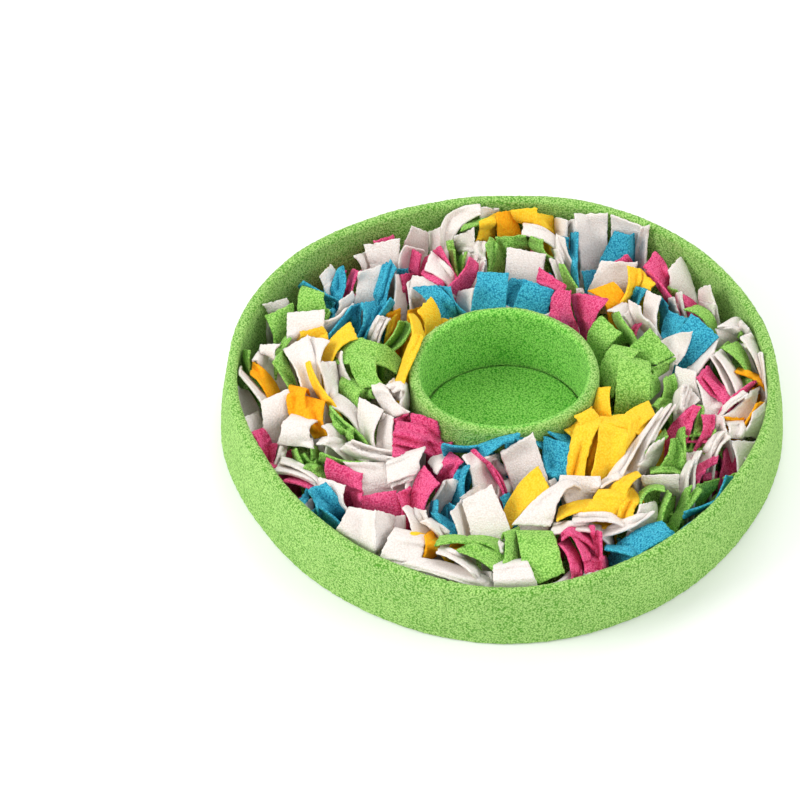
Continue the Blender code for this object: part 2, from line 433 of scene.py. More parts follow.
def shell_points():
    """Close points on the ring wall and the bowl ring, to tell what they hide."""
    out = []
    th = np.linspace(0, math.tau, 2600, endpoint=False)
    for r_at, column, thick, z0, centre in (
            (wall_outer_r, "wall_h", WALL_T, 0.0, np.zeros(3)),
            (cup_outer_r, "cup_h", CUP_T, BASE_T, CUP_CENTRE)):
        h = station(column, th)
        for t in np.linspace(0.0, 1.0, 100):
            z = z0 + (h - z0) * t
            for inset in (0.0, thick):
                r = r_at(th, z) - inset
                out.append(np.stack([r * np.cos(th) + centre[0],
                                     r * np.sin(th) + centre[1], z], -1))
        for t in np.linspace(0.0, 1.0, 14):
            r = r_at(th, h) - thick * t
            out.append(np.stack([r * np.cos(th) + centre[0],
                                 r * np.sin(th) + centre[1], h], -1))
    return out


def make_disc(name, r_at, z0, z1, rings, segments, mat, centre, relief):
    """A flat round panel: top and bottom faces with a soft rim."""
    theta = np.arange(segments) / segments * math.tau
    rim = r_at(theta)
    top, bottom = [], []
    for k in range(1, rings + 1):
        t = k / rings
        top.append((rim * t, z1))
        bottom.append((rim * t, z0))
    verts, faces = [], []
    layers = [(r, z) for r, z in bottom] + [(r, z) for r, z in reversed(top)]
    for r, z in layers:
        for i in range(segments):
            verts.append((r[i] * math.cos(theta[i]) + centre[0],
                          r[i] * math.sin(theta[i]) + centre[1], z))
    n = len(layers)
    for j in range(n - 1):
        for i in range(segments):
            i2 = (i + 1) % segments
            faces.append((j * segments + i2, j * segments + i,
                          (j + 1) * segments + i, (j + 1) * segments + i2))
    verts = np.array(verts)
    b0, t0 = len(verts), len(verts) + 1
    verts = np.vstack([verts, [[centre[0], centre[1], z0], [centre[0], centre[1], z1]]])
    for i in range(segments):
        i2 = (i + 1) % segments
        faces.append((b0, i, i2))
        faces.append((t0, (n - 1) * segments + i2, (n - 1) * segments + i))
    up = np.zeros_like(verts)
    up[:, 2] = 1.0
    top_side = verts[:, 2] > (z0 + z1) / 2
    moved = pile_relief(verts, up, relief, 2.2 * MM)
    verts[top_side] = moved[top_side]
    me_faces = [tuple(reversed(f)) for f in faces]
    return mesh_piece(name, verts, me_faces, mat)


def make_base(mat):
    def rim(theta):
        return wall_outer_r(theta, np.full_like(theta, BASE_T)) - WALL_T - 2 * GAP - 0.4 * MM
    obj = make_disc("base_cloth", rim, 0.0, BASE_T, 36, 150, mat, np.zeros(3), 0.2 * MM)
    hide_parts("base_panel")
    return obj


def make_cup_floor(mat):
    z0 = BASE_T + GAP

    def rim(theta):
        return cup_outer_r(theta, z0) - CUP_T - GAP - 1.5 * MM
    obj = make_disc("bowl_floor", rim, z0, z0 + FLOOR_T, 36, 180, mat, CUP_CENTRE, 0.4 * MM)
    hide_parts("cup_floor")
    return obj


# ---------------------------------------------------------------- strips
STRIP_W = 26.0 * MM
STRIP_T = 2.0 * MM
NV_SEEN = 19            # stations along the part of a strip that shows
NV_ROOT = 6             # stations from there down to the base
NU = 13                 # stations across

# Strips that show, placed one by one. A strip is given by its cut end, from
# corner a to corner b, and the line c to d where it goes down among the others,
# all in the view's frame; the heights of both lines over the floor in mm; which
# long side stands nearer (1: b's, -1: a's, 0: level); how far it swells towards
# the viewer along its length and across its width, in mm; and how far the cut
# end curls. A strip that runs in a curve has two more numbers: how far its sides
# a-d and b-c bow towards b's side, in pixels. A later strip lies over an earlier
# one.
STRIP_COLUMNS = ("colour", "ax", "ay", "bx", "by", "cx", "cy", "dx", "dy",
                 "end_z", "low_z", "near", "swell", "cup", "curl", "bow_ad", "bow_bc")
STRIPS = """
# back wall, left to right
w 262 304 287 298 291 318 268 316 52 36 0 2 0 0
b 298 286 303 281 336 299 328 304 50 38 1 0 0 0
w 319 276 330 265 339 277 324 289 54 44 0 1 0 0
b 338 268 342 266 340 301 329 292 52 36 0 0 0 0 0 5
g 265 316 293 303 290 340 274 345 56 34 0 2 0 0
b 328 301 335 302 334 311 327 309 38 28 0 0 0 0
g 326 308 331 310 327 321 323 321 46 34 1 0 0 0
g 302 285 324 293 328 311 297 310 57 48 0 3 0 0
p 353 268 359 272 352 292 344 294 52 34 1 0 0 0
w 354 256 365 252 371 266 362 268 50 38 0 0 0 0
p 374 241 394 235 398 262 376 266 52 30 0 0 0 0
w 364 245 400 238 399 266 370 268 56 38 0 2 0 1
w 358 272 386 264 384 300 354 303 52 34 0 3 0 0
w 412 226 428 232 428 256 404 243 54 32 -1 0 0 0
w 429 231 440 227 441 250 431 252 50 32 1 0 0 0
w 479 207 499 208 497 219 481 221 58 46 0 0 0 0
w 480 204 481 214 448 254 440 254 59 34 0 0 0 0 -19 -7
w 404 245 424 250 421 272 398 268 50 30 -1 -3 -2 0
p 413 249 421 254 419 274 409 272 50 30 1 0 0 0
b 397 269 407 269 408 275 397 275 34 26 0 0 0 0
w 396 275 399 274 407 304 393 316 46 30 0 0 0 0
p 400 274 414 273 410 290 403 290 40 26 0 0 0 0
w 407 283 413 278 416 308 410 306 48 34 0 0 0 0
w 413 275 441 281 438 302 410 302 50 36 0 3 0 0
p 425 257 432 254 428 276 420 275 42 30 1 0 0 0
p 433 250 440 246 455 275 449 276 52 38 1 0 0 0
p 421 275 430 256 457 283 446 289 44 36 0 0 0 0
w 424 270 431 251 457 279 449 287 52 38 0 2 1 0
g 447 241 453 240 456 262 450 260 46 30 1 0 0 0
g 450 249 455 249 457 273 454 273 50 30 1 0 0 0
g 460 256 467 251 463 272 459 271 48 30 1 0 0 0
w 463 253 478 254 476 270 466 270 48 34 0 0 0 0
g 461 230 463 225 490 217 490 222 54 50 -1 0 0 0
w 454 236 474 228 478 254 458 252 54 34 1 2 0 0
w 480 258 486 262 484 282 470 285 50 34 1 1 0 0
p 470 256 478 263 467 290 451 284 56 42 -1 2 0 0
y 480 222 496 213 495 238 477 240 54 40 0 1 0 0
w 476 241 488 242 486 262 473 262 46 34 0 1 0 0
o 496 213 512 210 522 235 497 235 54 40 0 0 0 0
y 510 210 537 208 543 226 521 223 58 46 0 2 0 0
y 537 213 554 216 555 234 533 226 55 40 -1 0 0 0
w 522 234 523 222 556 235 557 248 52 44 0 3 2 0
g 496 238 507 246 503 272 490 268 42 24 -1 0 -2 0
g 486 245 490 237 496 250 489 267 54 40 0 0 0 0 0 3
g 495 237 526 235 530 248 505 249 50 38 0 2 0 0
g 530 236 543 240 552 258 536 252 52 40 0 3 0 0
w 507 247 546 254 542 281 505 276 54 36 0 2 0 1
w 549 258 559 262 573 284 556 276 46 34 -1 0 0 0
w 551 248 558 250 573 290 560 270 48 30 1 0 0 0
w 555 217 568 220 567 238 556 234 54 40 1 0 0 0
w 556 234 564 238 574 266 559 262 52 34 1 1 0 0
g 559 264 563 264 579 291 567 293 46 34 1 0 0 0
w 577 288 582 288 584 293 577 293 40 34 0 0 0 0
b 562 236 569 238 569 250 564 248 44 34 1 0 0 0
w 568 221 575 219 577 237 568 236 54 40 1 0 0 0
w 611 214 642 226 637 246 612 246 58 34 -1 -2 -1 0
w 641 227 650 225 646 262 634 263 58 30 1 1 0 0
w 574 214 608 213 606 262 580 268 58 24 0 1 -2 0
b 571 233 578 232 578 288 572 276 52 24 1 0 0 0
b 582 271 598 270 602 282 585 292 32 22 0 0 0 0
b 615 231 630 235 629 262 600 259 54 34 1 0 0 0
b 627 236 634 233 634 261 626 259 56 36 -1 0 0 0
p 598 270 602 269 602 279 598 278 36 28 0 0 0 0
p 614 262 627 254 634 264 620 270 48 38 0 0 0 0
w 601 261 638 262 634 287 588 290 50 32 0 2 0 1
o 588 291 613 282 627 303 606 309 52 44 0 3 0 0
y 640 269 656 284 650 291 634 287 54 46 0 1 0 0
y 628 266 641 269 634 292 620 304 54 40 0 3 0 0
b 636 286 647 289 638 305 631 299 46 34 0 0 0 0
w 668 270 681 256 698 302 668 294 54 34 0 2 0 0
p 643 268 655 251 671 277 660 284 54 42 0 2 0 0
p 646 271 650 270 672 298 667 300 52 42 1 0 0 0
w 698 289 709 285 716 306 699 306 52 40 1 0 0 0
w 699 301 716 304 714 318 701 312 44 34 0 0 0 0
g 667 287 676 290 684 302 672 298 42 32 0 0 0 0
p 682 294 690 298 697 305 686 308 44 36 0 0 0 0
w 669 298 674 297 678 312 671 309 48 36 1 0 0 0
w 676 293 681 292 685 313 677 309 52 38 1 0 0 0
# left of the bowl
b 354 304 362 303 360 328 344 326 36 24 0 0 0 0
w 340 301 352 291 352 303 334 317 52 40 0 2 0 0
w 345 309 354 303 333 338 324 321 50 42 -1 2 0 0
b 331 309 335 308 336 316 332 317 42 34 0 0 0 0
b 352 306 359 304 335 336 330 334 48 40 -1 0 0 0
b 383 266 388 262 379 299 371 299 50 32 1 0 0 0
b 390 259 396 268 386 302 376 301 56 36 1 1 0 0
b 376 307 391 299 371 338 365 336 42 26 0 0 -2 0
b 361 303 375 301 365 334 359 335 54 34 0 3 0 0
b 391 298 395 303 372 335 368 332 52 36 -1 0 0 0
o 386 314 400 308 400 340 386 342 30 20 0 0 0 0
o 408 310 424 306 422 350 404 352 34 24 0 0 0 0
y 389 320 397 314 392 332 386 336 36 26 0 0 0 0
w 378 316 384 316 373 342 367 339 48 36 1 1 0 0
w 383 317 390 318 378 345 371 342 50 36 1 1 0 0
g 400 321 407 321 390 347 381 349 50 34 -1 1 0 0
o 397 340 412 334 404 362 392 354 26 18 0 0 0 0
g 407 321 412 325 394 350 388 349 48 34 1 -3 0 0
w 459 291 475 288 472 313 458 308 48 30 0 1 0 0
b 439 286 450 287 465 313 457 317 52 30 1 3 0 0
b 412 287 437 285 457 316 438 325 54 32 0 5 0 0
y 417 311 431 297 441 325 425 338 56 38 0 3 0 0
y 409 314 414 314 425 338 412 346 60 62 0 1 0 0
y 413 334 424 336 406 376 399 373 64 58 0 2 0 0 2 3
# far side of the bowl
b 509 277 524 280 516 312 505 312 30 16 0 0 0 0
b 478 272 509 273 505 314 470 314 56 34 0 3 0 0
b 524 279 554 290 546 318 512 310 56 34 0 3 0 0
p 539 267 567 286 562 295 537 281 54 46 0 1 0 0
p 571 294 578 294 588 324 579 322 42 28 0 0 0 0
p 580 318 592 322 587 338 578 331 28 20 0 0 0 0
p 556 290 570 291 579 330 549 316 56 38 0 3 1 0
p 577 293 609 299 592 330 584 320 58 38 0 3 0 0
# right of the bowl
w 647 290 661 297 657 336 646 330 56 40 0 2 0 0
b 661 297 668 305 668 313 660 311 46 34 0 0 0 0
w 607 311 622 303 631 309 620 317 50 48 0 1 0 0
w 622 316 631 309 641 322 633 331 40 30 0 0 -2 0
w 629 300 641 306 649 321 642 330 56 44 1 3 0 0
p 635 324 641 323 635 338 631 334 42 34 0 0 0 0
g 610 350 624 351 631 333 613 336 30 40 0 0 0 0
g 611 314 618 312 631 331 622 333 54 50 1 0 0 0
g 601 316 622 333 604 359 587 338 58 40 0 4 0 0
g 684 309 697 305 716 325 708 328 50 40 0 3 0 0
w 717 327 730 320 742 321 740 333 52 46 0 2 0 0
w 740 321 749 328 750 335 741 331 52 44 0 0 0 0
w 715 329 738 326 738 340 717 339 50 42 0 1 0 0
g 738 337 741 330 743 334 741 338 44 40 0 0 0 0
w 739 338 750 333 766 356 757 364 54 46 0 1 0 0
w 738 342 747 346 756 368 744 362 40 28 0 0 -1 0
w 761 352 767 352 768 396 761 398 54 34 1 0 0 0
g 712 354 728 341 731 344 715 357 52 44 0 0 0 0
g 721 347 737 341 751 372 746 371 56 42 0 2 0 0
b 669 310 688 319 678 338 661 342 54 36 0 1 -1 0
w 719 338 714 353 697 376 688 368 54 44 0 1 0 0
b 692 313 719 337 689 368 668 343 58 42 0 2 0 0
w 694 332 678 366 665 354 663 343 59 50 0 0 -4 0 -2 0
w 652 366 676 361 664 386 655 384 46 36 0 1 0 0
g 651 367 673 361 662 377 654 380 42 30 0 0 0 0
g 657 363 676 357 668 362 655 368 50 46 0 0 0 0
g 650 328 674 356 651 367 623 353 58 48 0 3 0 0
g 600 384 613 398 634 357 606 353 36 58 0 3 0 0
g 650 400 659 391 656 376 646 374 42 50 0 1 0 0
g 614 418 650 400 651 370 618 358 38 60 0 8 0 0
w 710 357 716 352 739 393 728 393 53 44 0 1 0 0
w 715 354 721 349 743 385 736 390 57 48 0 1 0 0
o 735 372 738 368 760 376 757 381 46 40 0 0 0 0
g 739 376 753 380 745 391 740 388 34 28 0 0 0 0
o 750 391 759 382 760 398 750 397 40 32 0 0 0 0
w 676 366 696 372 704 404 680 398 56 44 0 2 0 0
p 757 380 750 383 728 399 735 404 44 46 1 0 0 0
w 697 379 706 378 727 408 704 413 52 46 0 1 0 0
p 697 377 708 365 733 391 722 402 56 44 0 -3 0 0
p 703 376 706 375 733 400 724 405 52 46 -1 0 0 0
w 744 391 749 395 724 413 720 408 50 46 1 1 0 0
w 722 417 749 421 758 392 748 396 44 46 0 1 0 0
o 757 403 765 401 752 421 748 419 46 42 0 0 0 0
o 724 417 744 418 742 426 727 426 42 38 0 0 0 0
w 741 436 755 437 765 407 751 421 40 50 0 1 0 0
w 727 438 743 439 744 422 728 425 44 46 0 1 0 0
w 731 440 753 440 742 472 738 472 48 34 0 1 0 0
p 724 452 730 441 736 469 719 478 36 24 0 0 0 0
g 662 380 673 374 675 401 659 401 52 38 0 1 -2 0
g 652 405 660 398 671 399 657 409 46 42 0 0 0 0
w 675 392 684 384 682 408 673 414 56 44 1 1 0 0
w 684 384 689 387 684 412 677 416 54 44 1 1 0 0
w 690 388 700 400 692 412 679 418 50 42 0 1 0 0
w 716 414 724 417 728 434 716 434 50 42 0 1 0 0
g 684 452 684 443 708 436 709 450 34 38 0 0 0 0
g 711 428 716 430 708 450 700 448 44 36 0 0 0 0
p 683 443 683 437 704 434 706 443 38 40 0 0 0 0
p 702 415 715 415 709 440 700 438 54 42 0 1 0 0
g 684 437 684 432 699 429 700 436 42 42 0 0 0 0
g 699 405 704 406 702 430 693 437 50 40 0 0 0 0
p 694 405 701 406 691 433 668 430 54 44 0 1 0 0
w 685 454 697 452 697 461 686 462 38 34 0 0 0 0
w 718 432 725 431 712 453 702 453 50 42 1 1 0 0
w 725 431 731 438 717 456 708 458 50 42 1 1 0 0
p 704 474 718 471 718 479 702 481 28 26 0 0 0 0
p 719 455 717 463 702 472 701 464 44 40 0 0 0 0
p 701 463 706 471 698 483 692 481 42 36 0 0 0 0
# lower left of the bowl
g 345 352 350 352 355 378 343 370 42 30 -1 -2 0 0
w 333 354 342 351 349 378 337 384 50 38 1 2 0 0
g 344 402 358 407 363 388 339 382 38 46 0 2 0 0
g 359 398 376 398 373 390 359 387 38 44 0 2 0 0
g 397 374 401 360 362 338 348 364 44 57 0 5 0 0
g 361 388 387 387 376 366 350 356 44 58 0 5 0 0
w 395 387 404 387 403 403 396 401 46 42 0 0 -2 0
w 387 384 394 378 397 398 389 398 52 46 0 0 0 0
w 386 385 394 393 401 400 409 405 56 50 0 0 0 0 -14 -7
w 392 418 410 412 390 392 371 385 50 54 0 2 0 0
w 332 407 334 392 359 412 355 427 50 44 0 2 0 0
w 359 397 384 411 374 443 364 441 56 42 0 3 0 0
w 383 412 393 417 394 451 376 447 52 42 0 1 0 0
# left, by the wall
g 243 351 250 350 249 368 244 367 50 38 1 0 0 0
w 254 360 265 351 288 378 264 381 46 32 0 0 -3 0
w 252 361 262 345 267 352 257 360 52 48 0 0 0 0
w 260 345 280 344 277 361 268 353 57 50 0 3 0 0
g 286 336 291 338 283 352 278 350 54 46 1 0 0 0
w 240 386 247 390 259 410 246 415 38 28 0 0 0 0
w 248 416 258 411 263 434 256 432 44 34 0 0 0 0
o 250 374 253 361 278 389 267 397 48 38 0 2 0 0
w 237 370 242 366 268 398 261 401 52 44 -1 0 0 0
g 272 363 281 350 298 391 291 393 52 34 -1 1 0 0
w 287 313 325 310 324 332 287 342 57 46 0 3 0 0
y 300 332 322 326 329 341 297 340 52 44 0 2 0 0
y 351 322 358 339 332 361 321 361 57 46 0 4 0 0
w 306 336 330 341 320 362 303 364 58 54 0 2 0 0
w 283 350 308 335 318 394 301 393 58 40 0 4 0 0
w 318 362 335 361 336 400 325 404 52 42 0 2 0 0
y 306 363 309 361 332 401 325 406 56 46 1 2 0 0
w 260 401 289 389 288 424 262 434 54 40 0 3 0 0
o 290 419 313 428 305 394 288 393 46 52 0 2 0 0
o 315 438 329 436 324 408 303 406 40 52 0 2 0 0
p 263 441 279 443 277 466 268 462 36 24 0 0 -2 0
p 256 429 262 428 271 441 264 446 48 38 0 1 0 0
p 281 455 291 449 291 458 284 460 34 28 0 0 0 0
g 292 450 296 449 303 464 298 467 44 36 1 0 0 0
g 300 455 304 453 312 463 306 466 42 34 1 0 0 0
g 311 447 317 446 318 457 311 460 44 34 0 0 0 0
w 277 444 314 448 311 425 286 420 46 55 0 4 0 0
w 280 446 287 447 283 462 277 466 42 34 0 0 0 0
p 271 461 275 460 290 475 285 480 40 34 -1 0 0 0
p 285 480 292 475 318 481 309 489 46 44 0 1 0 0
w 279 464 281 469 314 484 317 478 44 42 1 2 0 0
w 280 461 280 467 315 483 316 476 44 42 1 2 0 0
w 281 457 280 463 316 480 315 474 46 44 1 2 0 0
g 313 461 325 456 326 467 314 468 38 34 0 0 -2 0
g 303 467 307 464 326 467 317 475 42 40 0 0 0 0
g 319 461 320 452 364 462 362 468 48 44 1 2 0 0
w 321 426 335 423 346 442 327 441 55 46 0 3 0 0
w 316 444 322 438 345 441 336 451 50 46 0 1 0 0
g 333 425 332 417 346 431 342 436 50 44 1 0 0 0
g 329 414 330 405 354 428 345 431 54 48 1 1 0 0
g 345 430 354 427 353 441 348 443 48 40 1 0 0 0
w 344 452 350 449 388 461 377 466 48 44 1 1 0 0
w 339 449 346 444 391 457 388 463 50 46 1 1 0 0
w 345 444 352 440 393 451 391 458 52 48 1 1 0 0
# near side of the bowl
p 392 458 424 452 424 443 393 443 44 48 0 0 0 0
p 411 413 440 420 442 440 411 426 57 44 0 1 0 0
p 393 420 408 413 410 425 395 425 50 46 0 0 0 0
p 394 432 397 421 431 429 431 441 54 46 0 0 0 0
p 393 444 393 431 431 438 424 452 52 44 0 1 0 0
p 431 441 456 440 446 461 427 460 38 26 0 0 -2 0
b 441 447 453 445 450 462 446 464 48 34 0 0 0 0
b 441 449 442 444 477 446 477 451 54 50 1 1 0 0
b 504 442 529 433 531 451 505 458 62 46 0 0 0 0
b 511 424 521 435 486 457 476 446 62 54 0 2 0 0
b 516 438 517 429 546 429 543 449 54 48 0 1 0 0
w 485 459 500 457 508 475 494 479 40 30 0 0 0 0
w 484 458 499 452 500 459 488 461 50 42 0 0 0 0
w 497 482 525 477 514 491 498 494 36 32 0 0 0 0
w 500 452 533 432 548 480 508 476 58 40 0 1 -3 0
w 549 481 556 477 558 487 552 493 46 38 0 0 0 0
b 548 432 550 429 573 434 556 438 54 50 0 0 0 0
b 543 436 575 444 569 484 549 479 56 34 0 3 0 0
w 428 463 437 475 447 463 436 456 48 50 0 1 0 0
p 451 452 464 462 457 478 437 478 54 42 0 2 0 0
w 463 456 476 450 497 482 474 488 54 44 0 2 1 0
p 471 450 474 449 489 463 487 465 52 48 1 0 0 0
p 487 465 489 463 498 480 496 481 50 42 1 0 0 0
w 343 462 386 463 392 488 360 490 50 42 0 4 0 0
w 390 482 412 478 414 492 392 494 38 34 0 0 0 0
w 405 490 418 484 417 474 405 476 46 46 0 0 0 0
w 391 488 417 479 420 466 389 476 48 50 0 1 0 0
w 388 484 416 474 424 451 386 463 52 55 0 2 0 0
# yellow, right near side
y 586 389 610 387 613 422 592 416 60 48 0 2 0 0
y 649 401 656 416 632 437 618 420 54 58 0 2 0 0
y 563 429 571 417 590 412 577 448 50 54 0 2 0 0
y 572 416 587 405 602 424 580 425 58 58 0 1 0 0
y 603 424 613 416 641 417 632 431 58 58 0 1 0 0
y 617 467 624 462 638 430 629 428 40 56 0 1 0 0
o 578 478 592 478 604 430 594 428 26 46 0 0 0 0
y 567 481 584 481 598 427 577 421 40 60 1 3 0 0
y 588 482 615 477 630 429 599 424 42 60 0 4 0 0
w 662 420 676 404 652 446 634 452 48 40 1 1 0 0
w 656 415 672 403 641 462 622 467 50 42 1 1 0 0
w 650 424 663 407 618 484 602 484 52 44 1 1 0 0
g 666 429 668 437 645 454 642 454 50 40 0 0 0 0
w 650 446 664 438 653 468 636 467 52 36 0 1 0 0
g 679 429 684 427 685 446 676 441 56 48 1 0 0 0
g 671 439 677 438 685 470 659 467 54 38 0 2 0 0
g 650 473 650 468 676 468 678 473 40 36 0 0 0 0
# near side
b 436 502 451 505 450 523 435 521 26 20 0 0 -2 0
w 689 461 696 459 688 484 680 486 54 40 1 1 0 0
w 697 451 702 451 695 478 688 480 56 42 1 1 0 0
g 723 478 736 470 738 476 730 484 42 34 0 0 0 0
g 696 484 719 478 713 491 695 494 42 34 0 1 0 0
g 686 488 692 485 686 505 678 505 46 34 1 0 0 0
g 697 487 702 490 684 515 678 509 48 38 1 0 0 0
b 726 475 732 475 720 496 711 496 48 40 0 0 0 0
b 697 515 700 511 718 496 713 499 42 44 0 0 0 0
b 683 519 684 512 712 497 712 501 46 44 1 0 0 0
b 680 529 681 526 691 520 690 523 44 42 0 0 0 0
g 664 500 676 495 672 518 661 516 34 24 0 0 0 0
w 640 475 679 473 679 490 645 487 52 38 0 2 0 0
g 640 492 663 490 660 501 641 502 38 26 0 -2 0 0
g 664 487 665 492 641 502 636 502 50 48 0 0 0 0 -7 -6
g 668 490 671 494 660 529 654 528 54 42 1 0 0 0
y 637 471 641 475 625 497 605 493 56 50 0 2 0 0
w 600 488 600 482 622 472 620 479 48 46 0 0 0 0
w 568 506 590 501 601 485 558 484 44 53 0 -2 -1 0
y 556 521 559 507 592 499 592 510 50 52 0 1 0 0
y 582 514 617 519 627 496 594 496 46 54 0 3 0 0
y 617 523 634 518 637 505 625 494 48 50 0 1 0 0
y 600 528 600 521 632 521 628 528 38 36 0 0 0 0
w 640 505 655 501 657 518 633 519 55 48 0 1 0 0
w 656 511 636 516 606 528 606 536 52 46 0 1 0 0 -6 -1
w 572 524 573 515 614 514 616 523 52 50 0 2 0 0
w 549 536 553 523 590 524 590 532 50 50 0 1 0 0
b 618 538 628 539 636 551 622 548 40 36 0 0 -1 0
b 662 521 675 533 637 552 626 537 56 50 0 2 0 0
b 604 549 606 545 635 548 635 553 50 48 0 0 0 0
b 501 497 509 492 517 518 508 522 34 24 0 0 0 0
w 516 536 548 535 549 525 518 525 38 38 0 0 0 0
y 538 466 551 491 518 518 513 494 57 47 0 2 0 0
w 511 525 551 526 566 488 556 484 52 58 0 2 0 0
b 463 465 470 466 465 497 452 491 58 42 0 2 0 0
w 441 482 457 478 449 500 426 506 48 34 0 0 -3 0
b 432 501 438 500 437 521 430 518 50 42 0 0 0 0
b 449 503 454 505 458 528 452 528 44 36 1 0 0 0
b 431 513 440 515 459 528 452 537 46 40 0 0 0 0
w 459 498 477 485 482 489 466 501 55 50 0 0 0 0
w 450 512 461 500 471 536 459 536 54 40 0 1 0 0
w 462 501 492 485 510 526 472 538 58 47 0 3 0 0
p 360 496 396 490 402 511 363 505 52 42 0 2 0 0
p 396 494 410 486 415 507 402 511 50 38 0 1 0 0
p 424 465 440 484 425 507 411 497 56 46 0 2 0 0
w 397 516 405 515 405 533 391 532 40 28 0 0 0 0
w 403 507 408 505 437 537 413 538 56 46 0 2 0 0
w 415 508 426 510 432 525 420 522 56 48 0 1 -1 0
w 420 522 430 518 453 535 440 536 50 42 0 1 0 0
p 350 486 363 492 362 502 353 501 40 32 0 0 0 0
p 326 458 363 474 363 493 325 473 56 42 0 3 0 0
w 318 477 346 486 349 510 336 506 54 40 0 3 -1 0
w 304 502 314 497 316 511 311 511 48 38 0 0 0 0
b 314 507 319 505 335 517 333 527 48 42 1 0 0 0
b 301 498 308 488 309 497 304 504 52 44 0 0 0 0
b 305 491 323 483 345 516 322 512 56 26 0 2 -4 0
y 402 540 411 532 434 537 426 543 52 50 0 0 0 0
o 421 563 436 557 435 541 426 542 44 50 0 0 0 0
o 449 551 450 545 488 544 486 550 48 46 0 0 0 0
g 434 546 440 537 468 537 466 543 56 54 0 1 0 0
g 466 543 468 537 501 541 494 548 54 50 0 1 0 0
g 455 552 467 544 503 555 492 570 54 54 0 2 0 0
w 499 541 504 543 503 553 499 553 48 40 0 0 0 0
w 374 510 395 516 385 547 373 556 57 52 0 1 0 0
w 349 507 376 511 376 556 336 530 58 53 0 1 0 0
w 384 559 400 551 438 566 430 576 52 50 0 0 0 0
w 380 556 420 564 425 544 390 534 56 58 0 1 0 0
w 479 571 492 571 494 588 480 588 44 36 0 0 0 0
w 396 564 420 558 478 572 476 588 56 54 0 1 0 0
w 436 553 442 545 480 571 473 575 56 52 0 2 0 0
p 589 525 595 526 597 556 591 556 48 38 0 0 0 0
p 596 531 602 532 602 560 596 556 54 46 0 0 0 0
p 583 570 600 569 601 560 584 562 52 50 0 0 0 0
p 600 556 606 556 607 568 600 569 46 40 0 0 0 0
p 584 562 591 560 581 533 572 536 56 58 0 1 0 0
p 562 541 561 534 575 530 576 537 54 56 0 1 0 0
w 546 584 573 580 573 570 556 577 54 52 0 0 0 0
w 583 577 600 571 600 567 583 571 52 50 0 0 0 0
p 571 577 582 576 574 546 563 548 56 54 0 2 0 0
g 503 567 523 565 521 538 506 539 50 54 0 1 0 0
g 527 582 565 572 556 538 517 537 54 58 0 3 0 0
w 494 590 538 588 529 563 493 567 58 56 0 2 0 0
"""


def read_strips():
    rows = []
    for line in STRIPS.strip().splitlines():
        line = line.split("#")[0].split()
        if not line:
            continue
        rows.append((line[0], [float(x) for x in line[1:]]))
    return rows


# o: yellow strips in folds and shadow, drawn in the yellow fleece with painted shade
COLOURS = {"w": "white", "b": "blue", "p": "pink", "y": "yellow", "g": "green",
           "o": "amber"}


def side_heights(left, right, z, near):
    """Heights of a strip's two long sides, so that it keeps its cut width."""
    v0 = at_height(*left, z) - at_height(*right, z)
    dl, dr = ray(*left), ray(*right)
    v1 = dl / dl[..., 2:3] + dr / dr[..., 2:3]
    a = np.sum(v1 * v1, -1)
    b = np.sum(v0 * v1, -1)
    c = np.sum(v0 * v0, -1) - STRIP_W ** 2
    disc = b * b - a * c
    root = np.sqrt(np.maximum(disc, 0.0))
    lo, hi = (-b - root) / a, (-b + root) / a
    if near > 0:
        d = lo
    elif near < 0:
        d = hi
    else:
        d = lo if np.abs(lo).mean() < np.abs(hi).mean() else hi
    return z + d, z - d


def unit(v):
    return v / np.maximum(np.linalg.norm(v, axis=-1, keepdims=True), 1e-12)


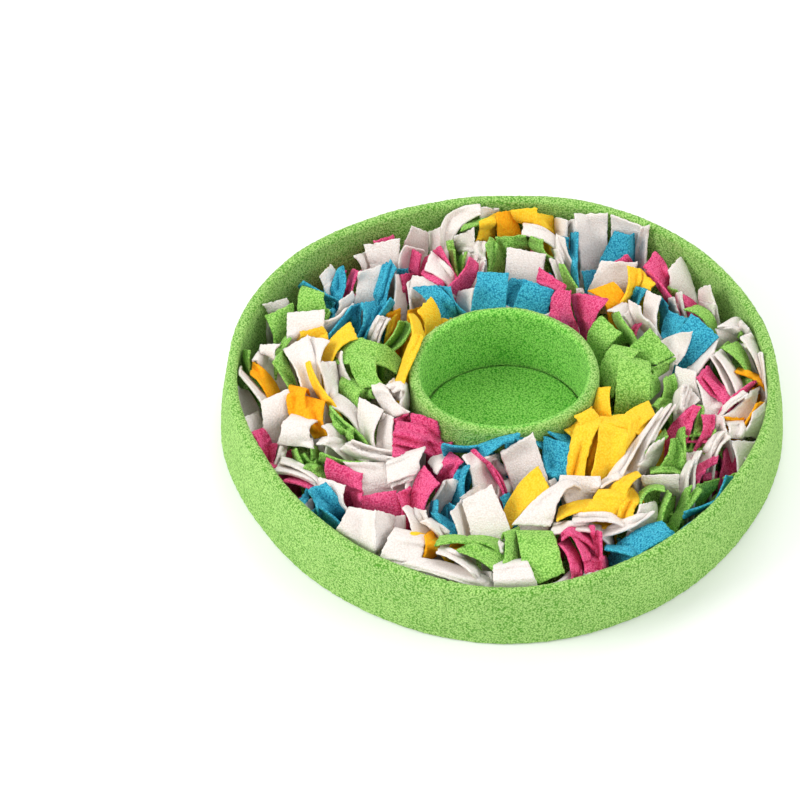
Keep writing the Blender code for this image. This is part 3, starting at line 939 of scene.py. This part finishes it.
def shown_strip(vals, rng, edge):
    """Middle surface of a placed strip, (stations along, stations across, 3)."""
    vals, tucked = tuck(vals, edge)
    ax, ay, bx, by, cx, cy, dx, dy, zt, zl, near, swell, cup, curl = vals[:14]
    bow_ad, bow_bc = vals[14:16] if len(vals) > 14 else (0.0, 0.0)
    # pile cloth is never flat: each strip arches and dishes a little by itself
    swell += rng.uniform(0.1, 1.0)
    cup += rng.uniform(-0.4, 0.8)
    curl += rng.uniform(-0.5, 0.5)
    v = np.linspace(0.0, 1.0, NV_SEEN)
    lx, ly = ax + (dx - ax) * v, ay + (dy - ay) * v
    rx, ry = bx + (cx - bx) * v, by + (cy - by) * v
    if bow_ad or bow_bc:
        run = unit(np.array([cx + dx - ax - bx, cy + dy - ay - by]))
        side = np.array([-run[1], run[0]])
        if np.dot(side, [bx - ax, by - ay]) < 0:
            side = -side
        arch = 4 * v * (1 - v)
        lx, ly = lx + side[0] * bow_ad * arch, ly + side[1] * bow_ad * arch
        rx, ry = rx + side[0] * bow_bc * arch, ry + side[1] * bow_bc * arch
    if tucked[0] and tucked[3]:
        lx, ly = behind(lx, ly, edge)
    if tucked[1] and tucked[2]:
        rx, ry = behind(rx, ry, edge)
    z = (zt + (zl - zt) * v) * MM
    zl_, zr_ = side_heights((lx, ly), (rx, ry), z, near)
    left, right = at_height(lx, ly, zl_), at_height(rx, ry, zr_)
    u = np.linspace(0.0, 1.0, NU)
    g = left[:, None, :] * (1 - u)[None, :, None] + right[:, None, :] * u[None, :, None]
    n = grid_normals(g, False, False)
    facing = np.sum(n * (CAM_POS - g), -1).mean()
    n = n * (1.0 if facing > 0 else -1.0)
    shape = swell * 4 * v * (1 - v)
    shape = shape + curl * np.clip(1 - v / 0.35, 0, 1) ** 2
    across = cup * ((2 * u - 1) ** 2 - 0.33)
    g = g + n * (shape[:, None] - across[None, :])[..., None] * MM
    # down to the root
    mid = g.mean(1)
    w1 = unit(g[-1, -1] - g[-1, 0])
    down = unit(mid[-1] - mid[-3])
    width = np.linalg.norm(g[-1, -1] - g[-1, 0])
    z1 = mid[-1, 2]
    reach = max(z1 - 6 * MM, 4 * MM)
    horiz = np.array([down[0], down[1], 0.0])
    root = np.array([mid[-1, 0], mid[-1, 1], 6 * MM]) + horiz * reach * 0.45
    w0 = np.array([w1[0], w1[1], 0.0])
    if np.linalg.norm(w0) < 0.25:
        w0 = np.cross([0, 0, 1.0], horiz) if np.linalg.norm(horiz) > 0.1 else np.array([1.0, 0, 0])
        if np.dot(w0, w1) < 0:
            w0 = -w0
    w0 = unit(w0)
    p1 = mid[-1] + down * reach * 0.45
    p2 = root + np.array([0, 0, 1.0]) * reach * 0.4
    rows = []
    for k in range(1, NV_ROOT + 1):
        t = k / NV_ROOT
        c = ((1 - t) ** 3 * mid[-1] + 3 * (1 - t) ** 2 * t * p1
             + 3 * (1 - t) * t * t * p2 + t ** 3 * root)
        w = unit(w1 * (1 - t) + w0 * t)
        wd = width * (1 - t) + STRIP_W * 0.92 * t
        rows.append(c[None, :] + w[None, :] * ((u - 0.5) * wd)[:, None])
    return np.vstack([g, np.array(rows)])


def near_edge():
    """The ring wall's inner top edge on the near side, as seen, and outward normals."""
    th = np.linspace(math.radians(172), math.radians(368), 1800)
    h = station("wall_h", th)
    r = wall_outer_r(th, h) - WALL_T
    p = np.stack([r * np.cos(th), r * np.sin(th), h - 1.5 * MM], -1)
    x, y, _ = seen_at(p)
    e = np.stack([x, y], -1)
    t = unit(np.gradient(e, axis=0))
    n = np.stack([-t[:, 1], t[:, 0]], -1)
    middle = np.array([505.0, 400.0])
    n *= np.where(np.sum(n * (e - middle), -1) > 0, 1.0, -1.0)[:, None]
    return e, n


def tuck(vals, edge):
    """Corners drawn close to the near wall's edge go on down behind it."""
    e, n = edge
    vals = list(vals)
    tucked = []
    for k in (0, 2, 4, 6):
        p = np.array(vals[k:k + 2])
        i = int(np.argmin(np.sum((e - p) ** 2, -1)))
        short = -float(np.dot(p - e[i], n[i]))
        tucked.append(-3.0 < short < 5.0)
        if tucked[-1]:
            vals[k:k + 2] = list(e[i] + n[i] * 3.0)
    return vals, tucked


def behind(x, y, edge):
    """A side of a strip that lies along the near wall follows the wall's edge."""
    e, n = edge
    x, y = np.array(x), np.array(y)
    for k in range(len(x)):
        i = int(np.argmin((e[:, 0] - x[k]) ** 2 + (e[:, 1] - y[k]) ** 2))
        off = (x[k] - e[i, 0]) * n[i, 0] + (y[k] - e[i, 1]) * n[i, 1]
        if off < 3.0:
            x[k] += n[i, 0] * (3.0 - off)
            y[k] += n[i, 1] * (3.0 - off)
    return x, y


def slide_in(g):
    """Bring a placed strip inside the ring wall along the line of sight."""
    m = 1.9 * MM
    g = np.array(g)
    for _ in range(5):
        r = np.hypot(g[..., 0], g[..., 1])
        th = np.arctan2(g[..., 1], g[..., 0])
        lim = wall_outer_r(th, g[..., 2]) - WALL_T - m
        over = np.clip(r - lim, 0.0, 14 * MM)
        away = unit(g - CAM_POS)
        dr = (away[..., 0] * g[..., 0] + away[..., 1] * g[..., 1]) / np.maximum(r, 1e-9)
        step = np.where(np.abs(dr) > 0.3, -over / np.where(np.abs(dr) > 0.3, dr, 1.0), 0.0)
        # the strip bends to it softly, along and across
        step = blur2(dilate2(step, dr < 0), 2)
        g = g + away * np.clip(step, -9 * MM, 9 * MM)[..., None]
    return g


def dilate2(a, lowest):
    """Spread each station's largest step to its neighbours, sign kept."""
    sign = -1.0 if np.mean(lowest) < 0.5 else 1.0
    b = np.pad(a * sign, 1, mode="edge")
    out = b[1:-1, 1:-1]
    for i in range(3):
        for j in range(3):
            out = np.maximum(out, b[i:i + a.shape[0], j:j + a.shape[1]])
    return out * sign


def blur2(a, times):
    for _ in range(times):
        b = np.pad(a, 1, mode="edge")
        a = (b[:-2, 1:-1] + b[2:, 1:-1] + b[1:-1, :-2] + b[1:-1, 2:] + 2 * a) / 6
    return a


def keep_clear(g):
    """Keep a strip between the ring wall and the bowl ring, over the base."""
    m = 1.7 * MM
    r = np.hypot(g[..., 0], g[..., 1])
    th = np.arctan2(g[..., 1], g[..., 0])
    lim = wall_outer_r(th, g[..., 2]) - WALL_T - m
    k = np.where(r > lim, lim / np.maximum(r, 1e-9), 1.0)
    g[..., 0] *= k
    g[..., 1] *= k
    q = g[..., :2] - CUP_CENTRE[:2]
    r = np.hypot(q[..., 0], q[..., 1])
    th = np.arctan2(q[..., 1], q[..., 0])
    lim = cup_outer_r(th, 0) + m
    over = g[..., 2] > station("cup_h", th) + 1.5 * MM
    k = np.where((r < lim) & ~over, lim / np.maximum(r, 1e-9), 1.0)
    g[..., :2] = q * k[..., None] + CUP_CENTRE[:2]
    g[..., 2] = np.maximum(g[..., 2], BASE_T + 0.4 * MM + STRIP_T / 2)
    return g


class Layers:
    """What lies nearest to the viewer so far, for laying strips over others."""

    def __init__(self):
        self.near = np.full((PHOTO, PHOTO), 1e9)

    def _fine(self, g, k=5):
        n, m = g.shape[:2]
        vi = np.linspace(0, n - 1, (n - 1) * k + 1)
        ui = np.linspace(0, m - 1, (m - 1) * k + 1)
        a = np.empty((len(vi), m, 3))
        for c in range(3):
            for j in range(m):
                a[:, j, c] = np.interp(vi, np.arange(n), g[:, j, c])
        b = np.empty((len(vi), len(ui), 3))
        i0 = np.minimum(ui.astype(int), m - 2)
        t = (ui - i0)[None, :, None]
        b = a[:, i0] * (1 - t) + a[:, i0 + 1] * t
        return vi, ui, b

    def lift(self, g, clear, seen):
        """Move the part that shows towards the viewer, over what lies there."""
        vi, ui, b = self._fine(g)
        x, y, d = seen_at(b)
        xi = np.clip(np.round(x).astype(int), 0, PHOTO - 1)
        yi = np.clip(np.round(y).astype(int), 0, PHOTO - 1)
        need = d - (self.near[yi, xi] - clear)
        need = np.clip(need, 0, 16 * MM)
        n, m = g.shape[:2]
        field = np.zeros((n, m))
        for i in range(n):
            rows = np.abs(vi - i) <= 0.6
            for j in range(m):
                cols = np.abs(ui - j) <= 0.6
                field[i, j] = need[np.ix_(rows, cols)].max()
        v = np.arange(n) / (seen - 1)
        mask = np.clip((1.12 - v) / 0.3, 0, 1)
        mask = mask * mask * (3 - 2 * mask)
        wide = np.pad(field, 1, mode="edge")
        soft = field.copy()
        for i in range(3):
            for j in range(3):
                soft = np.maximum(soft, wide[i:i + n, j:j + m])
        soft = blur2(soft, 5)
        to_eye = unit(CAM_POS - g)
        return g + to_eye * (soft * mask[:, None])[..., None], float((field * mask[:, None]).max())

    def add(self, g):
        _, _, b = self._fine(g, 6)
        x, y, d = seen_at(b)
        xi = np.clip(np.round(x).astype(int), 0, PHOTO - 1).ravel()
        yi = np.clip(np.round(y).astype(int), 0, PHOTO - 1).ravel()
        np.minimum.at(self.near, (yi, xi), d.ravel())


def solid_strip(g, rng):
    """Give the middle surface its thickness: soft round edges, ragged cut end."""
    g = np.array(g)
    n, m = g.shape[:2]
    nrm = grid_normals(g, False, False)
    # the cloth is never quite flat
    seed = Vector((rng.uniform(-50, 50), rng.uniform(-50, 50), rng.uniform(-50, 50)))
    for i in range(n):
        for j in range(m):
            p = Vector(g[i, j])
            d = noise.noise(p * 55.0 + seed) * 0.50 + noise.noise(p * 190.0 + seed) * 0.14
            g[i, j] += nrm[i, j] * d * MM
    # long edges wander, and pile stands out of every cut edge
    across = unit(g[:, -1] - g[:, 0])
    for i in range(n):
        for j, side in ((0, -1.0), (m - 1, 1.0)):
            wob = (noise.noise(Vector((i * 0.5, j * 0.4, 0.0)) + seed) * 0.55
                   + rng.uniform(-0.36, 0.36)) * MM
            g[i, j] += across[i] * wob * side
    tip = unit(g[0] - g[1])
    for j in range(m):
        g[0, j] += tip[j] * (noise.noise(Vector((j * 0.45, 9.0, 0.0)) + seed) * 0.8
                             + rng.uniform(-0.55, 0.55)) * MM
    h = STRIP_T / 2
    r = 0.6 * MM
    # a last narrower station rounds the cut end over
    inner = g[0] - tip * 0.75 * MM
    g = np.vstack([g[:1], inner[None], g[1:]])
    n += 1
    nrm = grid_normals(g, False, False)
    nrm[0] = nrm[1]
    across = unit(g[:, -1] - g[:, 0])
    half = np.full(n, h)
    half[0] = h * 0.45
    ring = []
    for j in range(m):
        inset = r * across if j == 0 else (-r * across if j == m - 1 else 0.0)
        ring.append(g[:, j] + inset + nrm[:, j] * half[:, None])
    ring.append(g[:, -1] + nrm[:, -1] * (half * 0.38)[:, None])
    ring.append(g[:, -1] - nrm[:, -1] * (half * 0.38)[:, None])
    for j in reversed(range(m)):
        inset = r * across if j == 0 else (-r * across if j == m - 1 else 0.0)
        ring.append(g[:, j] + inset - nrm[:, j] * half[:, None])
    ring.append(g[:, 0] - nrm[:, 0] * (half * 0.38)[:, None])
    ring.append(g[:, 0] + nrm[:, 0] * (half * 0.38)[:, None])
    ring = np.stack(ring, 1)                      # (n, k, 3)
    k = ring.shape[1]
    verts = ring.reshape(-1, 3)
    faces = []
    for i in range(n - 1):
        for j in range(k):
            j2 = (j + 1) % k
            faces.append((i * k + j, i * k + j2, (i + 1) * k + j2, (i + 1) * k + j))
    # end caps: pair up the two faces' points
    for i, flip in ((0, False), (n - 1, True)):
        b = i * k
        top = [b + j for j in range(m)]
        bot = [b + m + 2 + (m - 1 - j) for j in range(m)]
        right = (b + m, b + m + 1)
        left = (b + k - 1, b + k - 2)
        quads = [(top[j], top[j + 1], bot[j + 1], bot[j]) for j in range(m - 1)]
        quads.append((top[-1], right[0], right[1], bot[-1]))
        quads.append((left[0], top[0], bot[0], left[1]))
        for q in quads:
            faces.append(q[::-1] if not flip else q)
    return verts, faces


def strip_length(g):
    mid = g.mean(1)
    return float(np.linalg.norm(np.diff(mid, axis=0), axis=1).sum())


def outward(verts, faces):
    """True if the closed mesh's faces point out."""
    v = np.asarray(verts)
    f = np.asarray(faces)
    c = v.mean(0)
    a, b, d, e = v[f[:, 0]] - c, v[f[:, 1]] - c, v[f[:, 2]] - c, v[f[:, 3]] - c
    vol = np.sum(np.cross(a, b) * d) + np.sum(np.cross(a, d) * e)
    return vol > 0


ROW_RADII = {"first": 95.5 * MM, "second": 128.0 * MM, "third": 160.5 * MM,
             "outer": 193.0 * MM}


def filler_strip(rng, radius, theta, length, lean, heading, twist, width=STRIP_W):
    """Middle surface of a strip that rises from its root and bends over."""
    nv, nu = 13, 9
    root = np.array([radius * math.cos(theta), radius * math.sin(theta), 6 * MM])
    d = np.array([math.cos(heading), math.sin(heading), 0.0])
    up = np.array([0.0, 0.0, 1.0])
    t = np.linspace(0.0, 1.0, nv)
    bend = lean * (0.25 + 0.75 * t ** 1.3)
    step = length / (nv - 1)
    pts = [root]
    for k in range(1, nv):
        a = 0.5 * (bend[k] + bend[k - 1])
        pts.append(pts[-1] + (d * math.sin(a) + up * math.cos(a)) * step)
    pts = np.array(pts)
    side = np.cross(up, d)
    u = np.linspace(-0.5, 0.5, nu)
    dish = rng.uniform(-1.4, 1.4) * MM
    rows = []
    for k in range(nv):
        a = twist * t[k]
        tangent = unit(pts[min(k + 1, nv - 1)] - pts[max(k - 1, 0)])
        nrm = np.cross(tangent, side)
        w = side * math.cos(a) + nrm * math.sin(a)
        face = np.cross(w, tangent)
        rows.append(pts[k] + w[None, :] * (u * width)[:, None]
                    + face[None, :] * (dish * t[k] * ((2 * u) ** 2 - 0.33))[:, None])
    return np.array(rows)[::-1]


def fine_points(g, k=4):
    n, m = g.shape[:2]
    v, u = np.linspace(0, n - 1, (n - 1) * k + 1), np.linspace(0, m - 1, (m - 1) * k + 1)
    i0, j0 = np.minimum(v.astype(int), n - 2), np.minimum(u.astype(int), m - 2)
    a, b = (v - i0)[:, None, None], (u - j0)[None, :, None]
    g00, g01 = g[i0][:, j0], g[i0][:, j0 + 1]
    g10, g11 = g[i0 + 1][:, j0], g[i0 + 1][:, j0 + 1]
    return (g00 * (1 - a) * (1 - b) + g01 * (1 - a) * b + g10 * a * (1 - b) + g11 * a * b)


CELL = 3.0 * MM
CELLS = 160


class Crowd:
    """How full the space over the base is: heights by cell and filled voxels."""

    def __init__(self):
        self.top = np.zeros((CELLS, CELLS))
        self.full = set()

    def add(self, g):
        p = fine_points(g).reshape(-1, 3)
        i = np.clip(((p[:, 0] / CELL) + CELLS / 2).astype(int), 0, CELLS - 1)
        j = np.clip(((p[:, 1] / CELL) + CELLS / 2).astype(int), 0, CELLS - 1)
        np.maximum.at(self.top, (i, j), p[:, 2])
        self.full.update(map(tuple, np.floor(p / (2.4 * MM)).astype(int)))

    def clash(self, g):
        p = fine_points(g, 2).reshape(-1, 3)
        p = p[p[:, 2] > 12 * MM]
        if not len(p):
            return 0.0
        v = np.floor(p / (2.4 * MM)).astype(int)
        return sum(tuple(q) in self.full for q in v) / len(v)

    def level(self, x, y):
        i, j = int(x / CELL + CELLS / 2), int(y / CELL + CELLS / 2)
        a = self.top[max(i - 3, 0):i + 4, max(j - 3, 0):j + 4]
        return float(a.mean())


def row_of(g):
    root = g[-1].mean(0)
    r = float(np.hypot(root[0], root[1]))
    return min(ROW_RADII, key=lambda k: abs(ROW_RADII[k] - r))


def hidden_strips(layers, crowd, count, shells, bunches):
    """Seeded strips for the gaps between those placed one by one.

    Each stands on the base in the emptiest spot of a few tried, and only where
    it hides nothing that was placed in the front view.
    """
    rng = random.Random(77)
    near = layers.near.copy()
    cover = Layers()
    cover.near = near
    for shell in shells:
        p = shell.reshape(-1, 3)
        x, y, d = seen_at(p)
        xi = np.clip(np.round(x).astype(int), 0, PHOTO - 1)
        yi = np.clip(np.round(y).astype(int), 0, PHOTO - 1)
        np.minimum.at(near, (yi, xi), d)
    out, fails = [], 0
    while len(out) < count and fails < 500:
        spots = []
        for _ in range(26):
            r = math.sqrt(rng.uniform(86.0 ** 2, 206.0 ** 2)) * MM
            th = rng.uniform(0, math.tau)
            spots.append((crowd.level(r * math.cos(th), r * math.sin(th)), r, th))
        level, r, th = min(spots)
        placed = False
        for attempt in range(14):
            shrink = 1.0 - 0.035 * attempt
            length = rng.uniform(44, 58) * MM * shrink
            lean = math.radians(rng.uniform(15, 75 + 2 * attempt))
            heading = rng.uniform(0, math.tau)
            if r > 190 * MM:
                heading = th + math.pi + rng.uniform(-1.4, 1.4)
            elif r < 100 * MM:
                heading = th + rng.uniform(-1.4, 1.4)
            g = filler_strip(rng, r, th, length, lean, heading, rng.uniform(-0.5, 0.5))
            g = keep_clear(g)
            g[..., 2] = np.minimum(g[..., 2], 60 * MM)
            p = fine_points(g).reshape(-1, 3)
            x, y, d = seen_at(p)
            xi = np.clip(np.round(x).astype(int), 0, PHOTO - 1)
            yi = np.clip(np.round(y).astype(int), 0, PHOTO - 1)
            hides = np.mean(d < near[yi, xi] - 0.2 * MM)
            if hides > 0.004:
                continue
            if crowd.clash(g) > 0.16 + 0.01 * attempt:
                continue
            placed = True
            break
        if not placed:
            fails += 1
            i, j = int(r * math.cos(th) / CELL + CELLS / 2), int(r * math.sin(th) / CELL + CELLS / 2)
            crowd.top[max(i - 2, 0):i + 3, max(j - 2, 0):j + 3] += 6 * MM
            continue
        root = g[-1].mean(0)
        colour = bunches.nearest(root) if rng.random() < 0.8 else "white"
        out.append((colour, g))
        crowd.add(g)
    print("strips between", len(out), "given up", fails)
    return out


class Bunches:
    """The sewn bunches of the frame, with their colours and places."""

    def __init__(self):
        slots = {}
        for s in frame["record"]["subparts"]:
            slots[s["node"]] = s.get("material_slot") or s.get("slot")
        self.rows = []
        for name in sorted(frame["nodes"]):
            if name.startswith("bunch"):
                lo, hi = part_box(name)
                mid = (np.array(lo) + np.array(hi)) / 2
                self.rows.append((name, name.split("_")[1],
                                  slots[name].replace("fleece_", ""), mid))

    def nearest(self, p):
        return min(self.rows, key=lambda b: float(np.hypot(*(b[3][:2] - p[:2]))))[2]


def make_strips(mats, shells):
    rng = random.Random(5)
    layers, crowd, bunches = Layers(), Crowd(), Bunches()
    groups = {}
    edge = near_edge()
    for c, vals in read_strips():
        g = shown_strip(vals, rng, edge)
        g = keep_clear(slide_in(g))
        g, need = layers.lift(g, 2.5 * MM, NV_SEEN)
        g = keep_clear(g)
        layers.add(g)
        crowd.add(g)
        groups.setdefault((row_of(g), COLOURS[c]), []).append(g)
    for colour, g in hidden_strips(layers, crowd, 130, shells, bunches):
        groups.setdefault((row_of(g), colour), []).append(g)
    total = 0
    made = {}
    for (row, colour), grids in sorted(groups.items()):
        verts, faces, base, length = [], [], 0, 0.0
        for g in grids:
            length += strip_length(g)
            v, f = solid_strip(g, rng)
            if not outward(v, f):
                f = [q[::-1] for q in f]
            verts.append(v)
            faces += [tuple(x + base for x in q) for q in f]
            base += len(v)
        name = "strips_%s_%s" % (row, colour)
        obj = mesh_piece(name, np.vstack(verts), faces, mats[colour], sharp=60)
        made[(row, colour)] = obj
        total += len(faces) * 2
    for name, row, colour, _ in bunches.rows:
        obj = made.get((row, colour))
        if obj is None:
            obj = made[min(k for k in made if k[0] == row)]
        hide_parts(name)
    print("strip triangles", total, "pieces", len(made),
          "strips", sum(len(g) for g in groups.values()))


# ---------------------------------------------------------------- studio
def make_studio():
    me = bpy.data.meshes.new("floor")
    s = 6.0
    me.from_pydata([(-s, -s, -0.0003), (s, -s, -0.0003), (s, s, -0.0003), (-s, s, -0.0003)],
                   [], [(0, 1, 2, 3)])
    mat = bpy.data.materials.new("floor")
    mat.use_nodes = True
    nt = mat.node_tree
    bsdf = nt.nodes["Principled BSDF"]
    n = nt.nodes.new("ShaderNodeTexNoise")
    n.inputs["Scale"].default_value = 3.0
    ramp = nt.nodes.new("ShaderNodeMapRange")
    ramp.inputs["To Min"].default_value = 0.955
    ramp.inputs["To Max"].default_value = 0.975
    nt.links.new(n.outputs["Fac"], ramp.inputs["Value"])
    nt.links.new(ramp.outputs["Result"], bsdf.inputs["Base Color"])
    bsdf.inputs["Roughness"].default_value = 0.9
    bsdf.inputs["Specular IOR Level"].default_value = 0.1
    me.materials.append(mat)
    floor = bpy.data.objects.new("floor", me)
    bpy.context.scene.collection.objects.link(floor)

    world = bpy.data.worlds.new("studio")
    bpy.context.scene.world = world
    world.use_nodes = True
    bg = world.node_tree.nodes["Background"]
    bg.inputs["Color"].default_value = (1.0, 1.0, 1.0, 1.0)
    bg.inputs["Strength"].default_value = 0.74

    def area(name, loc, target, size, power):
        lamp = bpy.data.lights.new(name, "AREA")
        lamp.shape = "DISK"
        lamp.size = size
        lamp.energy = power
        obj = bpy.data.objects.new(name, lamp)
        obj.location = loc
        d = Vector(target) - Vector(loc)
        obj.rotation_euler = d.to_track_quat("-Z", "Y").to_euler()
        bpy.context.scene.collection.objects.link(obj)

    area("back", (0.4, 1.3, 1.9), (0, 0, 0), 1.2, 12.5)
    area("left", (-1.8, -0.5, 1.3), (0, 0, 0), 1.2, 28)
    area("right", (1.9, -0.6, 1.1), (0, 0, 0), 1.2, 13)
    area("front", (0.1, -2.2, 1.6), (0, 0, 0), 1.4, 4.5)


def main():
    make_camera()
    make_studio()
    mats = {
        "green": fleece_material("fleece_green_strip", "leaf", 680, 0.9, 0.8, 0.18, 1.15),
        "blue": fleece_material("fleece_blue", "blue", 680, 0.9, 0.8, 0.15, 1.05),
        "pink": fleece_material("fleece_pink", "pink", 680, 0.9, 0.8, 0.12, 1.1),
        "yellow": fleece_material("fleece_yellow", "yellow", 600, 0.8, 0.7, 0.10, 0.9),
        # a deeper orange yellow with painted shade, for yellow strips lying in folds and shadow
        "amber": fleece_material("fleece_amber", "amber", 600, 0.8, 0.7, 0.10, 0.9),
        "white": fleece_material("fleece_white", "white", 680, 0.8, 0.7, 0.12, 1.0),
    }
    wall_mat = fleece_material("fleece_green_wall", "green", 660, 1.0, 1.2, 0.28, 1.5)
    # inside the bowl the material paints the hollow's shade and green bounce light as a deeper, more
    # saturated green
    bowl_mat = fleece_material("fleece_green_bowl", "green", 660, 1.0, 1.2, 0.28, 1.35,
                               ("inside", CUP_CENTRE, 67.5 * MM, 71.5 * MM))
    make_base(wall_mat)
    make_wall(wall_mat)
    make_cup(bowl_mat)
    make_cup_floor(bowl_mat)
    make_strips(mats, shell_points())
    bpy.context.scene.view_settings.view_transform = "Standard"


main()
